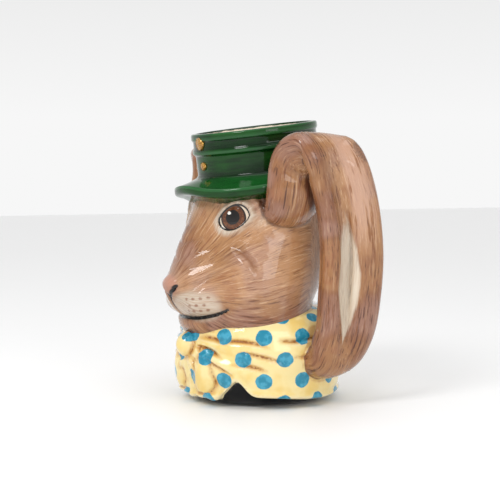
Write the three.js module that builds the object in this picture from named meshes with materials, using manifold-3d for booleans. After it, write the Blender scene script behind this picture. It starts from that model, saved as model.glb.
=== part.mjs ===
// A rabbit-head toby jug in glazed earthenware: head, peaked cap, neckerchief, coat and both ears are one casting.
// The cap's crown is the mouth of the jug, and the rabbit's left ear loops down to make the handle.
// Millimetres, +Z up. The origin is the middle of the foot's underside, and the rabbit faces -Y.
import * as THREE from "three";
import { mergeVertices } from "three/addons/utils/BufferGeometryUtils.js";
import Module from "manifold-3d";

// Vessel
const FIGURE_HEIGHT = 117; // foot to the crown of the head
const WALL = 4.5;
const FLOOR = 6;
const FOOT_RADIUS = 30.5;
const BUST_RADIUS = 41.5;
const BUST_HEIGHT = 52; // where the coat ends, inside the head
const BUST_ROUNDING = 15; // the coat's lower and upper edges

// Cap, which is tipped up at the back
const CAP_TILT = 7.7; // degrees
const CAP_SEAT = 1.7; // the brim's underside above the crown of the head, on the axis
const BAND_RADIUS = 33.4;
const BAND_HEIGHT = 12.8;
const CROWN_HEIGHT = 10.5; // from the band to the rim
const CROWN_RADIUS = 34.4;
const LEDGE = 1.4; // how far the crown's lower edge overhangs the band
const BRIM_THICKNESS = 4.9;
const BRIM_RISE = 2.6; // from the brim's upper edge to the band
const PEAK_LIFT = 3.6; // how far the middle of the peak stands above its sides
const PEAK_REACH = 48; // front edge of the brim, from the axis
const BRIM_SIDE = 41; // side edge of the brim, from the axis
const BRIM_BACK = 31; // where the brim runs out inside the band

// Neckerchief
const CLOTH = 2.6; // how proud of the coat the cloth stands
const DRAPE_ROUNDING = 10; // the cloth's lower edge tucks in less than the coat's
const HEM = 5; // lower edge of the cloth, above the foot
const NOTCH_RISE = 9.5; // how far the hem lifts beside each tail
const NOTCH_ANGLE = 43; // degrees from the front
const NOTCH_WIDTH = 8; // degrees

// Ear that makes the handle
const EAR_REACH = 62; // middle of the falling ear, from the axis
const EAR_TOP = 138; // middle of the ear where it folds over
const EAR_HALF_WIDTH = 16.5;
const EAR_HALF_THICKNESS = 6.5;
const HOOD_HALF = [8, 14.5, 8]; // half sizes of the clay under the fold at the top

// Fineness of the faceted surface
const SEGMENTS = 54;
const EAR_SAMPLES = 156; // along the middle of an ear
const EAR_STEPS = 30;
const EAR_SIDES = 16;
const FRONT_BIAS = 0.36; // crowds the segments towards the face

const DEGREE = Math.PI / 180;
const unit = FIGURE_HEIGHT / 100;

// Masses of the head, in hundredths of the figure's height: centre, half sizes, forward pitch in degrees, blend.
// A paired mass repeats on both sides.
const MASSES = [
  { name: "skull", at: [0, 0.8, 78], half: [33.5, 35, 40], pitch: 0, blend: 1 },
  { name: "cheek", at: [16, -8, 56], half: [19.5, 25.5, 21], pitch: 0, blend: 9 },
  { name: "jowl", at: [13, -9, 42.5], half: [21, 24, 14.5], pitch: 0, blend: 7 },
  { name: "muzzle", at: [0, -27, 55], half: [17.5, 21.5, 17], pitch: 10, blend: 8 },
  { name: "bridge", at: [0, -24.5, 75], half: [12.5, 20.5, 13], pitch: 40, blend: 8 },
  { name: "brow", at: [16, -18, 92], half: [11, 7, 5.5], pitch: 0, blend: 6 },
  { name: "pad", at: [9.5, -25.5, 47.5], half: [11, 18.5, 9], pitch: 0, blend: 2.5 },
  { name: "nose", at: [0, -46.5, 55], half: [6, 4, 4.2], pitch: 15, blend: 2.5 },
  { name: "chin", at: [0, -26.5, 37], half: [18, 13.5, 7], pitch: 0, blend: 5 },
  { name: "eye", at: [16.6, -21, 84.6], half: [8, 8, 8], pitch: 0, blend: 2 },
].map(({ at, half, pitch, blend }) => ({
  paired: at[0] !== 0,
  centre: at.map((n) => n * unit),
  half: half.map((n) => n * unit),
  turn: [Math.cos(pitch * DEGREE), Math.sin(pitch * DEGREE)],
  blend: blend * unit,
}));

// Signed distance, roughly, to an ellipsoid pitched about X.
function ellipsoid(x, y, z, [cx, cy, cz], [a, b, c], [cos, sin] = [1, 0]) {
  const [dx, dy, dz] = [x - cx, y - cy, z - cz];
  const [u, v, w] = [dx / a, (dy * cos + dz * sin) / b, (dz * cos - dy * sin) / c];
  const k0 = Math.sqrt(u * u + v * v + w * w);
  const k1 = Math.sqrt((u / a) ** 2 + (v / b) ** 2 + (w / c) ** 2);
  return k1 > 0 ? (k0 * (k0 - 1)) / k1 : -Math.min(a, b, c);
}

// Union of two distances with a fillet of about the given width.
function blendMin(a, b, width) {
  const h = Math.max(width - Math.abs(a - b), 0) / width;
  return Math.min(a, b) - (h * h * width) / 4;
}

const blendMax = (a, b, width) => -blendMin(-a, -b, width);

const smoothstep = (a, b, x) => {
  const t = Math.min(Math.max((x - a) / (b - a), 0), 1);
  return t * t * (3 - 2 * t);
};

function coatField(x, y, z, radius = BUST_RADIUS, lowerRounding = BUST_ROUNDING) {
  const rounding = z < BUST_HEIGHT / 2 ? lowerRounding : BUST_ROUNDING;
  const out = Math.hypot(x, y) - (radius - rounding);
  const up = Math.abs(z - BUST_HEIGHT / 2) - (BUST_HEIGHT / 2 - rounding);
  const corner = Math.hypot(Math.max(out, 0), Math.max(up, 0));
  return corner + Math.min(Math.max(out, up), 0) - rounding;
}

function headField(x, y, z) {
  let d = Infinity;
  for (const { paired, centre, half, turn, blend } of MASSES) {
    const mass = ellipsoid(paired ? Math.abs(x) : x, y, z, centre, half, turn);
    d = d === Infinity ? mass : blendMin(d, mass, blend);
  }
  return d;
}

// Degrees round the jug from straight ahead.
const fromFront = (x, y) => Math.atan2(x, -y) / DEGREE;

// Lower edge of the cloth: it lifts into a notch beside each tail.
function hemAt(turned) {
  const notch = Math.exp(-(((Math.abs(turned) - NOTCH_ANGLE) / NOTCH_WIDTH) ** 2));
  return HEM + NOTCH_RISE * notch - 1.5 * Math.cos(3 * turned * DEGREE);
}

// Folds in the cloth, running out from the knot and then round the jug.
function pleats(x, y, z) {
  const around = Math.abs(fromFront(x, y)) * DEGREE * BUST_RADIUS;
  const rise = z - 36;
  const far = Math.hypot(around, rise);
  const fan = Math.atan2(rise, around + 3) / DEGREE;
  const nearKnot = smoothstep(6, 14, far) * (1 - 0.8 * smoothstep(24, 62, far));
  const wave = Math.sin(fan * 0.2 + 0.6) + 0.6 * Math.sin(fan * 0.37 + 2.1 + 0.02 * far);
  return 0.85 * nearKnot * wave;
}

// The cloth is rolled round the neck, knotted in front, with two tails.
function clothField(x, y, z) {
  const ring = Math.hypot(x, y) - (BUST_RADIUS - 5);
  const roll = (Math.hypot(ring / 8.5, (z - 28 - 0.06 * y) / 9.5) - 1) * 8.5;
  const hem = (hemAt(fromFront(x, y)) - z) * 0.9;
  const robe = coatField(x, y, z, BUST_RADIUS + CLOTH, DRAPE_ROUNDING);
  const drape = blendMax(robe, hem, 2);
  const tail = ellipsoid(Math.abs(x), y, z, [11, 2 - BUST_RADIUS, 19], [9.5, 6.5, 15]);
  const knot = ellipsoid(x, y, z, [0, -2.5 - BUST_RADIUS, 32], [6.5, 7.5, 7]);
  const body = blendMin(drape, roll, 7) - pleats(x, y, z);
  return blendMin(blendMin(body, tail, 2.5), knot, 1.6);
}

const wholeField = (x, y, z) =>
  Math.min(headField(x, y, z), clothField(x, y, z), coatField(x, y, z));
const shellField = (x, y, z) => Math.min(headField(x, y, z), coatField(x, y, z));

// Each level is a plane through the axis point at height z, tipped more and more towards the cap.
const capSlope = Math.tan(CAP_TILT * DEGREE);
const slopeAt = (z) => capSlope * smoothstep(0.5 * FIGURE_HEIGHT, FIGURE_HEIGHT, z);

// Point where a ray at the given angle and height meets a field's level, found by stepping in from outside.
function shoot(field, angle, z, slope, level = 0) {
  const [c, s] = [Math.cos(angle), Math.sin(angle)];
  let r = BUST_RADIUS + 24;
  for (let i = 0; i < 70; i++) {
    const d = field(r * c, r * s, z + slope * r * s) - level;
    if (d < 0.02) break;
    r -= Math.max(d * 0.8, 0.03);
  }
  return [r * c, r * s, z + slope * r * s];
}

const spread = (from, to, count) =>
  Array.from({ length: count }, (_, i) => from + ((to - from) * i) / (count - 1));

const atRadius = (r, z) => (angle) => [r * Math.cos(angle), r * Math.sin(angle), z];

// Rows of the figure from the foot up to inside the cap.
function figureRows() {
  const hemOf = (angle) => hemAt(fromFront(Math.cos(angle), Math.sin(angle)));
  const coat = [0.06, 0.25, 0.5, 0.75, 0.97].map((share) => (angle) =>
    shoot(coatField, angle, hemOf(angle) * share, 0),
  );
  const neck = 38;
  const cloth = spread(0.04, 1, 8).map((share) => (angle) =>
    shoot(wholeField, angle, hemOf(angle) + (neck - hemOf(angle)) * share, 0),
  );
  const head = spread(neck + 3, FIGURE_HEIGHT + CAP_SEAT, 20).map((z) => (angle) =>
    shoot(wholeField, angle, z, slopeAt(z)),
  );
  const inCap = [atRadius(BAND_RADIUS - WALL / 2, FIGURE_HEIGHT + CAP_SEAT + 7)];
  return [atRadius(FOOT_RADIUS * 0.5, 0), atRadius(FOOT_RADIUS - 4, 0), ...coat, ...cloth, ...head, ...inCap];
}

// From the tilted cap's own frame, whose origin is on the axis under the brim.
function outOfCap(x, y, z) {
  const [c, s] = [Math.cos(CAP_TILT * DEGREE), Math.sin(CAP_TILT * DEGREE)];
  return [x, y * c - z * s, FIGURE_HEIGHT + CAP_SEAT + y * s + z * c];
}

const capRow = (radius, height) => (angle) => {
  const r = typeof radius === "function" ? radius(angle) : radius;
  const z = typeof height === "function" ? height(angle) : height;
  return outOfCap(r * Math.cos(angle), r * Math.sin(angle), z);
};

// Outline of the brim in plan: an ellipse reaching further forward than back.
function brimRadius(angle) {
  const middle = (BRIM_BACK - PEAK_REACH) / 2;
  const [a, b] = [BRIM_SIDE, (BRIM_BACK + PEAK_REACH) / 2];
  const [c, s] = [Math.cos(angle), Math.sin(angle)];
  const A = (c / a) ** 2 + (s / b) ** 2;
  const B = (-2 * s * middle) / (b * b);
  const C = (middle / b) ** 2 - 1;
  const r = (-B + Math.sqrt(B * B - 4 * A * C)) / (2 * A);
  return Math.max(r, BAND_RADIUS + 0.4);
}

// How far the brim's edge hangs: its sides lower than the middle of the peak.
function brimSag(angle) {
  const turned = Math.abs(fromFront(Math.cos(angle), Math.sin(angle)));
  const reach = (brimRadius(angle) - BAND_RADIUS) / (PEAK_REACH - BAND_RADIUS);
  return PEAK_LIFT * (1 - Math.exp(-((turned / 24) ** 2))) * Math.min(Math.max(reach, 0), 1) ** 0.7;
}

const bandBase = BRIM_THICKNESS + BRIM_RISE;
const bandTop = bandBase + BAND_HEIGHT;
const rimTop = bandTop + CROWN_HEIGHT;

function capRows() {
  const proud = (angle) => smoothstep(0.5, 6, brimRadius(angle) - BAND_RADIUS);
  const edge = (inset, rise, tuck = 0) =>
    capRow(
      (angle) => brimRadius(angle) - inset * proud(angle) - tuck * (1 - proud(angle)),
      (angle) => rise - brimSag(angle),
    );
  const onBrim = (share) =>
    capRow(
      (angle) => brimRadius(angle) + (BAND_RADIUS - brimRadius(angle)) * share,
      (angle) => BRIM_THICKNESS + BRIM_RISE * share ** 1.3 - brimSag(angle) * (1 - share) ** 0.7,
    );
  return [
    capRow(BAND_RADIUS - WALL / 2, -6),
    edge(5.5, -1.4, 3.5),
    edge(0.9, 0.4),
    edge(0, BRIM_THICKNESS * 0.6),
    edge(0.5, BRIM_THICKNESS),
    onBrim(0.5),
    capRow(BAND_RADIUS, bandBase),
    capRow(BAND_RADIUS, bandTop - 1.6),
    capRow(BAND_RADIUS + LEDGE, bandTop - 0.4),
    capRow(BAND_RADIUS + LEDGE, bandTop + 1),
    capRow(CROWN_RADIUS - 0.3, bandTop + 2.4),
    capRow(CROWN_RADIUS - 0.4, rimTop - 4.4),
    capRow(CROWN_RADIUS + 0.5, rimTop - 3.4),
    capRow(CROWN_RADIUS + 0.4, rimTop - 0.6),
    capRow(CROWN_RADIUS - 0.4, rimTop),
  ];
}

function cavityRows() {
  const body = spread(FLOOR + 9, FIGURE_HEIGHT - 4, 8).map((z) => (angle) =>
    shoot(shellField, angle, z, slopeAt(z), -WALL),
  );
  return [
    atRadius(FOOT_RADIUS - WALL, FLOOR),
    atRadius(BUST_RADIUS - WALL - 5, FLOOR + 4),
    ...body,
    capRow(BAND_RADIUS - WALL, 1.5),
    capRow(BAND_RADIUS - WALL, bandTop - 1),
    capRow(CROWN_RADIUS - WALL + 0.4, bandTop + 2),
    capRow(CROWN_RADIUS - WALL + 0.4, rimTop - 2.5),
    capRow(CROWN_RADIUS - 1.8, rimTop + 0.6),
    capRow(CROWN_RADIUS - 1.8, rimTop + 3),
  ];
}

function surface(points, faces) {
  const geometry = new THREE.BufferGeometry();
  geometry.setAttribute("position", new THREE.Float32BufferAttribute(points.flat(), 3));
  geometry.setIndex(faces.flat());
  return geometry;
}

// A closed skin through rings of points, capped at both ends at the mean of the end ring.
function skin(rings) {
  const sides = rings[0].length;
  const mean = (ring) => [0, 1, 2].map((k) => ring.reduce((sum, p) => sum + p[k], 0) / sides);
  const points = [...rings.flat(), mean(rings[0]), mean(rings.at(-1))];
  const [bottom, top] = [points.length - 2, points.length - 1];
  const at = (j, i) => j * sides + (i % sides);
  const faces = [];
  for (let j = 0; j + 1 < rings.length; j++)
    for (let i = 0; i < sides; i++)
      faces.push(
        [at(j, i), at(j, i + 1), at(j + 1, i)],
        [at(j, i + 1), at(j + 1, i + 1), at(j + 1, i)],
      );
  for (let i = 0; i < sides; i++) {
    faces.push([bottom, at(0, i + 1), at(0, i)]);
    faces.push([top, at(rings.length - 1, i), at(rings.length - 1, i + 1)]);
  }
  return surface(points, faces);
}

// Rings of points round the axis, closer together at the front by the bias.
function around(rows, segments, bias) {
  const angles = Array.from({ length: segments }, (_, i) => {
    const t = (2 * Math.PI * i) / segments;
    return t - Math.PI / 2 - bias * Math.sin(t);
  });
  return rows.map((row) => angles.map((angle) => row(angle)));
}

// Stations along an ear: distance from the axis, direction in degrees, height, half width, half thickness,
// how open it is, and the direction of its width in degrees.
function nearEar() {
  const [reach, top, w, t] = [EAR_REACH, EAR_TOP, EAR_HALF_WIDTH, EAR_HALF_THICKNESS];
  return [
    [28, -6, 104, 12, 8, 0, 86],
    [38, -6, 105, 14, 9, 0, 86],
    [44, -6, 114, 15.5, 9, 0, 86],
    [reach - 17, -5, top - 11, 15.5, 8, 0, 88],
    [reach - 14.4, -3, top - 4, 15.5, 7.4, 0, 90],
    [reach - 8.5, 1, top - 0.5, 16, 7.2, 0, 91],
    [reach - 2.6, 5, top - 4, w, 7, 0.1, 89],
    [reach, 10, top - 13, w, 6.8, 0.4, 83],
    [reach, 17, 105, w, t, 0.7, 78],
    [reach, 20, 83, w, t, 1, 76],
    [reach - 1, 20, 62, w, t, 1, 78],
    [58, 20, 42, 16, 8.5, 0.6, 82],
    [51.5, 18, 28, 15, 11, 0.1, 86],
    [40, 16, 24, 12, 10, 0, 88],
  ];
}

// The other ear rises the same way and lies down against the head. It is placed as on the near side.
function farEar() {
  return [
    ...nearEar().slice(0, 2),
    [43, -6, 113, 15.5, 8, 0, 86],
    [42.5, -5, 124, 15.5, 6.8, 0, 88],
    [44.8, -3, 130.5, 15.5, 6.2, 0, 90],
    [49.8, 1, 133.3, 15.5, 6, 0, 92],
    [54.6, 6, 130, 15.5, 6, 0.1, 95],
    [54.5, 12, 120, 15.5, 6, 0.4, 99],
    [51, 17, 103, 15.5, 6, 0.8, 105],
    [47.5, 20, 74, 15, 6, 1, 110],
    [47.5, 20, 54, 12.5, 6, 0.9, 110],
    [47, 20, 38, 8.5, 5.5, 0.5, 110],
    [46, 20, 29, 5, 4.5, 0, 110],
  ];
}

const curve = (points) => new THREE.CatmullRomCurve3(points, false, "catmullrom");

// Samples along an ear, each with its own directions and sizes.
function earSamples(stations) {
  const line = curve(
    stations.map(([r, d, z]) =>
      new THREE.Vector3(r * Math.cos(d * DEGREE), r * Math.sin(d * DEGREE), z),
    ),
  );
  const sizes = curve(stations.map(([, , , w, t, open]) => new THREE.Vector3(w, t, open)));
  const turns = curve(
    stations.map((station) => {
      const turn = station[6] * DEGREE;
      return new THREE.Vector3(Math.cos(turn), Math.sin(turn), 0);
    }),
  );
  return spread(0, 1, EAR_SAMPLES).map((s) => {
    const along = line.getTangent(s);
    const out = new THREE.Vector3().crossVectors(along, turns.getPoint(s)).normalize();
    const across = new THREE.Vector3().crossVectors(out, along);
    return { centre: line.getPoint(s), along, across, out, sizes: sizes.getPoint(s).toArray() };
  });
}

function ellipse(u, v, a, b) {
  const k0 = Math.hypot(u / a, v / b);
  const k1 = Math.hypot(u / (a * a), v / (b * b));
  return k1 > 0 ? (k0 * (k0 - 1)) / k1 : -Math.min(a, b);
}

// Distance to an ear's section: a web with a roll along its front edge and a broad flap along its back.
function earSection(u, v, [w, t, open]) {
  const web = ellipse(u, v + 0.5 * t * open, w, t * (1 - 0.5 * open));
  const roll = Math.hypot(u + w - 0.75 * t, v - 0.25 * t * open) - 0.75 * t;
  const flap = ellipse(u - 0.48 * w, v - 0.45 * t * open, 0.52 * w, 0.62 * t);
  return blendMin(blendMin(web, roll, 2), flap, 2);
}

// Ring of points round an ear's section, each found by stepping in from outside. Backing is how many times
// thicker the side towards the head is.
function earRing({ centre, across, out, sizes }, backing) {
  const [w, t, open] = sizes;
  const middle = -0.25 * t * open;
  return Array.from({ length: EAR_SIDES }, (_, i) => {
    const a = (2 * Math.PI * i) / EAR_SIDES;
    const [c, s] = [Math.cos(a) * w, Math.sin(a) * t];
    let share = 1.6;
    for (let k = 0; k < 40; k++) {
      const d = earSection(share * c, middle + share * s, sizes);
      if (d < 0.02) break;
      share -= Math.max((0.8 * d) / Math.hypot(c, s), 0.004);
    }
    const v = middle + share * s;
    const p = centre.clone().addScaledVector(across, share * c);
    return p.addScaledVector(out, v < 0 ? v * backing : v).toArray();
  });
}

// An ear's skin from its root to its tip. The backing comes in where it lies down past the fold.
function earRun(stations, backing) {
  const samples = earSamples(stations);
  const at = (station) => (station / (stations.length - 1)) * (samples.length - 1);
  const places = spread(0, samples.length - 1, EAR_STEPS).map(Math.round);
  const backed = (place) => 1 + (backing - 1) * smoothstep(at(5), at(7), place);
  return skin(places.map((place) => earRing(samples[place], backed(place))));
}

// Rounded clay under the fold at the top of an ear, where its two runs meet.
function hood([reach, , top]) {
  const ball = new THREE.SphereGeometry(1, 20, 14);
  ball.scale(...HOOD_HALF);
  ball.translate(reach, 1, top - 7);
  ball.deleteAttribute("normal");
  ball.deleteAttribute("uv");
  return ball;
}

function ear(stations, backing) {
  return solid(earRun(stations, backing)).add(solid(hood(stations[5])));
}

const wasm = await Module();
wasm.setup();

function solid(geometry) {
  const merged = mergeVertices(geometry, 1e-4);
  const made = new wasm.Manifold(
    new wasm.Mesh({
      numProp: 3,
      vertProperties: merged.attributes.position.array,
      triVerts: new Uint32Array(merged.index.array),
    }),
  );
  if (made.volume() < 0) throw new Error("inside out");
  return made;
}

function geometryOf(manifold) {
  const mesh = manifold.getMesh();
  const geometry = new THREE.BufferGeometry();
  geometry.setAttribute("position", new THREE.BufferAttribute(mesh.vertProperties, 3));
  geometry.setIndex(new THREE.BufferAttribute(mesh.triVerts, 1));
  geometry.computeVertexNormals();
  return geometry;
}

const figure = solid(skin(around(figureRows(), SEGMENTS, FRONT_BIAS)));
const cap = solid(skin(around(capRows(), SEGMENTS, FRONT_BIAS)));
const handle = ear(nearEar(), 1);
const lyingEar = ear(farEar(), 2.2).scale([-1, 1, 1]);
const cavity = solid(skin(around(cavityRows(), SEGMENTS, FRONT_BIAS)));
const joined = figure.add(cap).add(handle).add(lyingEar).subtract(cavity);

// Pockets sealed in behind the ears are solid clay, so only the outermost shell is kept.
const casting = joined.decompose().sort((a, b) => b.volume() - a.volume())[0];

const glaze = new THREE.MeshStandardMaterial({
  color: 0xb98a5e,
  roughness: 0.15,
  metalness: 0,
});
const jug = new THREE.Mesh(geometryOf(casting), glaze);
jug.name = "jug";

const group = new THREE.Group();
group.add(jug);
export default group;
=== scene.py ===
"""A rabbit-head toby jug in glazed earthenware. Lengths are in millimetres until a mesh is made."""

import math

import bpy
import numpy as np
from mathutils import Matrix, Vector


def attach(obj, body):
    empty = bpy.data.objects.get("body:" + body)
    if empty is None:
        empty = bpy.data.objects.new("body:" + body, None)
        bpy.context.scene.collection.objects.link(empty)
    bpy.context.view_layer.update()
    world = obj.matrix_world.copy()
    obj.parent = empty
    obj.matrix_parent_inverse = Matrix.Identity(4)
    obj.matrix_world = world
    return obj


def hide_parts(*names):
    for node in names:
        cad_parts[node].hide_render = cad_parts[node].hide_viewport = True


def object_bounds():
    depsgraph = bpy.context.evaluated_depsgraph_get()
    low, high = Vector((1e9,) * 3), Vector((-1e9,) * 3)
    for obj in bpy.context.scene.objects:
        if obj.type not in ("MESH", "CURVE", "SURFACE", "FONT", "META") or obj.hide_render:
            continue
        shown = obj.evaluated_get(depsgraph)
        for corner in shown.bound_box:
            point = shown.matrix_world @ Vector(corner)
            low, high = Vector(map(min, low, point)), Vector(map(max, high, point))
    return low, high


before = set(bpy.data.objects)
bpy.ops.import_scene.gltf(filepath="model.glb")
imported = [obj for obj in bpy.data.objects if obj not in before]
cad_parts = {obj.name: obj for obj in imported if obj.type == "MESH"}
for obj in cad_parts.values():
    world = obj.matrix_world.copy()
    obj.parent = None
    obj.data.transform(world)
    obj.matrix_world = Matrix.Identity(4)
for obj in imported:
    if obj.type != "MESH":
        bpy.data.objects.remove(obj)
cad_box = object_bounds()

MM = 0.001
DEGREE = math.pi / 180

# Sizes of the part
FIGURE_HEIGHT = 117  # foot to the crown of the head
CAP_SEAT = 1.7  # the brim's underside above that, on the axis
WALL = 4.5
FLOOR = 6
FOOT_RADIUS = 30.5
BUST_RADIUS = 41.5
BUST_HEIGHT = 52  # where the coat ends, inside the head
BUST_ROUNDING = 15
BAND_RADIUS = 33.4
BAND_HEIGHT = 12.8
CROWN_HEIGHT = 10.5
CROWN_RADIUS = 34.4
CAP_TILT = 7.7  # degrees, up at the back
BRIM_THICKNESS = 4.9
BRIM_RISE = 2.6  # from the brim's upper edge to the band
PEAK_LIFT = 3.6  # how far the middle of the peak stands above its sides
PEAK_REACH = 48
BRIM_SIDE = 41
BRIM_BACK = 31
CLOTH = 2.6
DRAPE_ROUNDING = 10  # the cloth's lower edge tucks in less than the coat's
HEM = 5
NOTCH_RISE = 9.5
NOTCH_ANGLE = 43
NOTCH_WIDTH = 8
EAR_REACH = 62
EAR_TOP = 138
EAR_HALF_WIDTH = 16.5
EAR_HALF_THICKNESS = 6.5

UNIT = FIGURE_HEIGHT / 100
BAND_BASE = BRIM_THICKNESS + BRIM_RISE  # heights in the tilted cap, from the brim's underside
BAND_TOP = BAND_BASE + BAND_HEIGHT
RIM_TOP = BAND_TOP + CROWN_HEIGHT

# Gilt buttons on the front of the cap: radius, reach from the axis, and height in the cap
BUTTONS = ((3.6, CROWN_RADIUS - 0.3, BAND_TOP + 5.4), (2.3, BAND_RADIUS, BAND_BASE + 6))

FINE = 1.12  # spacing of the sculpted surface
GRID_LOW = (-66, -66, -4)  # corners of the space that the sculpted surface lies in
GRID_HIGH = (80, 62, 152)
CAP_SEGMENTS = 256
HOLLOW_SEGMENTS = 160
SHARP_ANGLE = 50  # degrees

# Gloss of the glazes
GLAZE_IOR = 1.25
COAT_WEIGHT = 0.7
CAP_COAT_WEIGHT = 0.25
DARK_COAT_WEIGHT = 0.1
COAT_ROUGHNESS = 0.02

# Camera of the photograph: level, at about the jug's middle
CAMERA_AZIMUTH = 60
CAMERA_DISTANCE = 650
CAMERA_HEIGHT = 122
AIM = (-5.5, 81.5)  # along the picture from the axis, and height
PICTURE_WIDTH = 277  # of the picture at the jug's axis
SENSOR = 36
FLOOR_REACH = 3000  # of the studio's floor, each way

# Masses of the head, in hundredths of the figure's height: centre, half sizes, forward pitch, blend
MASSES = {
    "skull": ((0, 0.8, 78), (33.5, 35, 40), 0, 1),
    "cheek": ((16, -8, 56), (19.5, 25.5, 21), 0, 9),
    "jowl": ((13, -9, 42.5), (21, 24, 14.5), 0, 7),
    "muzzle": ((0, -27, 55), (17.5, 21.5, 17), 10, 8),
    "bridge": ((0, -24.5, 75), (12.5, 20.5, 13), 40, 8),
    "brow": ((16, -18, 92), (11, 7.5, 5.5), 0, 6),
    "pad": ((9.5, -25.5, 47.5), (11, 18.5, 9), 0, 2.5),
    "nose": ((0, -46.5, 55), (6, 4, 4.2), 15, 2.5),
    "chin": ((0, -26.5, 37), (18, 13.5, 7), 0, 5),
}
EYE = np.array((16.6, -21.0, 84.6))  # middle of the eyeball
EYE_OUT = np.array((0.66, -0.73, 0.18))  # which way it faces
EYE_RADIUS = 9.4
EYE_LENGTH, EYE_HEIGHT = 8.4, 6.4  # half sizes of the opening between the lids
MOUTH_HEIGHT = 47
MOUTH_END = 27  # sideways from the middle
CLEFT_TOP = 58

# Stations along an ear: distance from the axis, direction in degrees, height, half width, half thickness,
# how open it is, and the direction of its width in degrees
NEAR_EAR = (
    (28, -6, 104, 12, 8, 0, 86),
    (38, -6, 105, 14, 9, 0, 86),
    (44, -6, 114, 15.5, 9, 0, 86),
    (EAR_REACH - 17, -5, EAR_TOP - 11, 15.5, 8, 0, 88),
    (EAR_REACH - 14.4, -3, EAR_TOP - 4, 15.5, 7.4, 0, 90),
    (EAR_REACH - 8.5, 1, EAR_TOP - 0.5, 16, 7.2, 0, 91),
    (EAR_REACH - 2.6, 5, EAR_TOP - 4, EAR_HALF_WIDTH, 7, 0.1, 89),
    (EAR_REACH, 10, EAR_TOP - 13, EAR_HALF_WIDTH, 6.8, 0.4, 83),
    (EAR_REACH, 17, 105, EAR_HALF_WIDTH, EAR_HALF_THICKNESS, 0.7, 78),
    (EAR_REACH, 20, 83, EAR_HALF_WIDTH, EAR_HALF_THICKNESS, 1, 76),
    (EAR_REACH - 1, 20, 62, EAR_HALF_WIDTH, EAR_HALF_THICKNESS, 1, 78),
    (58, 20, 42, 16, 8.5, 0.6, 82),
    (51.5, 18, 28, 15, 11, 0.1, 86),
    (40, 16, 24, 12, 10, 0, 88),
)
FAR_EAR = (
    (28, -6, 104, 12, 8, 0, 86),
    (38, -6, 105, 14, 9, 0, 86),
    (43, -6, 113, 15.5, 8, 0, 86),
    (42.5, -5, 124, 15.5, 6.8, 0, 88),
    (44.8, -3, 130.5, 15.5, 6.2, 0, 90),
    (49.8, 1, 133.3, 15.5, 6, 0, 92),
    (54.6, 6, 130, 15.5, 6, 0.1, 95),
    (54.5, 12, 120, 15.5, 6, 0.4, 99),
    (51, 17, 103, 15.5, 6, 0.8, 105),
    (47.5, 20, 74, 15, 6, 1, 110),
    (47.5, 20, 54, 12.5, 6, 0.9, 110),
    (47, 20, 38, 8.5, 5.5, 0.5, 110),
    (46, 20, 29, 5, 4.5, 0, 110),
)
EAR_SAMPLES = 170
FOLD_LENGTH = 66  # along an ear, from its root to just past the fold
HOOD = (8, 14.5, 8)  # half sizes of the clay under the fold at the top of each ear

# Creases in the cloth, on each side: where each starts and ends round the jug from the front, its height,
# slope and bend
CREASES = (
    (9, 27, 37, -0.15, 1.5),
    (8, 24, 32, -0.3, 1.0),
    (11, 30, 27.5, -0.5, 0.6),
    (24, 48, 35.5, -0.1, 1.8),
    (33, 56, 30.5, -0.28, 1.2),
    (30, 47, 24, -0.2, 1.0),
    (52, 76, 37, 0.05, -1.5),
    (60, 82, 28, 0.1, -1.2),
    (84, 112, 34, -0.05, -1.6),
    (96, 126, 26, 0.06, 1.4),
)

# Painted dots
DOT_RADIUS = 4.1
DOT_SPACING = 19.5
DOT_RISE = 11.5


def ellipsoid(p, centre, half, pitch=0):
    """Signed distance, roughly, to an ellipsoid pitched about X."""
    c, s = math.cos(pitch * DEGREE), math.sin(pitch * DEGREE)
    dx, dy, dz = (p[i] - centre[i] for i in range(3))
    u, v, w = dx, dy * c + dz * s, dz * c - dy * s
    a, b, h = half
    k0 = np.sqrt((u / a) ** 2 + (v / b) ** 2 + (w / h) ** 2)
    k1 = np.sqrt((u / a**2) ** 2 + (v / b**2) ** 2 + (w / h**2) ** 2)
    return k0 * (k0 - 1) / np.maximum(k1, 1e-6)


def ellipse(u, v, a, b):
    k0 = np.hypot(u / a, v / b)
    k1 = np.hypot(u / a**2, v / b**2)
    return k0 * (k0 - 1) / np.maximum(k1, 1e-6)


def blend_min(a, b, width):
    h = np.maximum(width - np.abs(a - b), 0) / width
    return np.minimum(a, b) - h * h * width / 4


def blend_max(a, b, width):
    return -blend_min(-a, -b, width)


def smoothstep(a, b, x):
    t = np.clip((x - a) / (b - a), 0, 1)
    return t * t * (3 - 2 * t)


def hump(x, width):
    """A smooth hump of height 1 where x is 0."""
    return np.exp(-((x / width) ** 2))


def plateau(a, b, c, d, x):
    """1 from b to c, easing to 0 at a and d."""
    return smoothstep(a, b, x) * (1 - smoothstep(c, d, x))


def unit(v):
    return v / np.linalg.norm(v, axis=-1, keepdims=True)


def near_side(p):
    """The same place on the near side of the head."""
    return np.abs(p[0]), p[1], p[2]


def from_front(p):
    """Degrees round the jug from straight ahead, positive towards the near side."""
    return np.degrees(np.arctan2(p[0], -p[1]))


def coat_field(p, radius=BUST_RADIUS, lower_rounding=BUST_ROUNDING):
    rounding = np.where(p[2] < BUST_HEIGHT / 2, lower_rounding, BUST_ROUNDING)
    out = np.hypot(p[0], p[1]) - (radius - rounding)
    up = np.abs(p[2] - BUST_HEIGHT / 2) - (BUST_HEIGHT / 2 - rounding)
    corner = np.hypot(np.maximum(out, 0), np.maximum(up, 0))
    return corner + np.minimum(np.maximum(out, up), 0) - rounding


def hem(p):
    """Height of the cloth's lower edge."""
    turned = np.abs(from_front(p))
    notch = hump(turned - NOTCH_ANGLE, NOTCH_WIDTH)
    return HEM + NOTCH_RISE * notch - 1.5 * np.cos(3 * turned * DEGREE)


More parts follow.
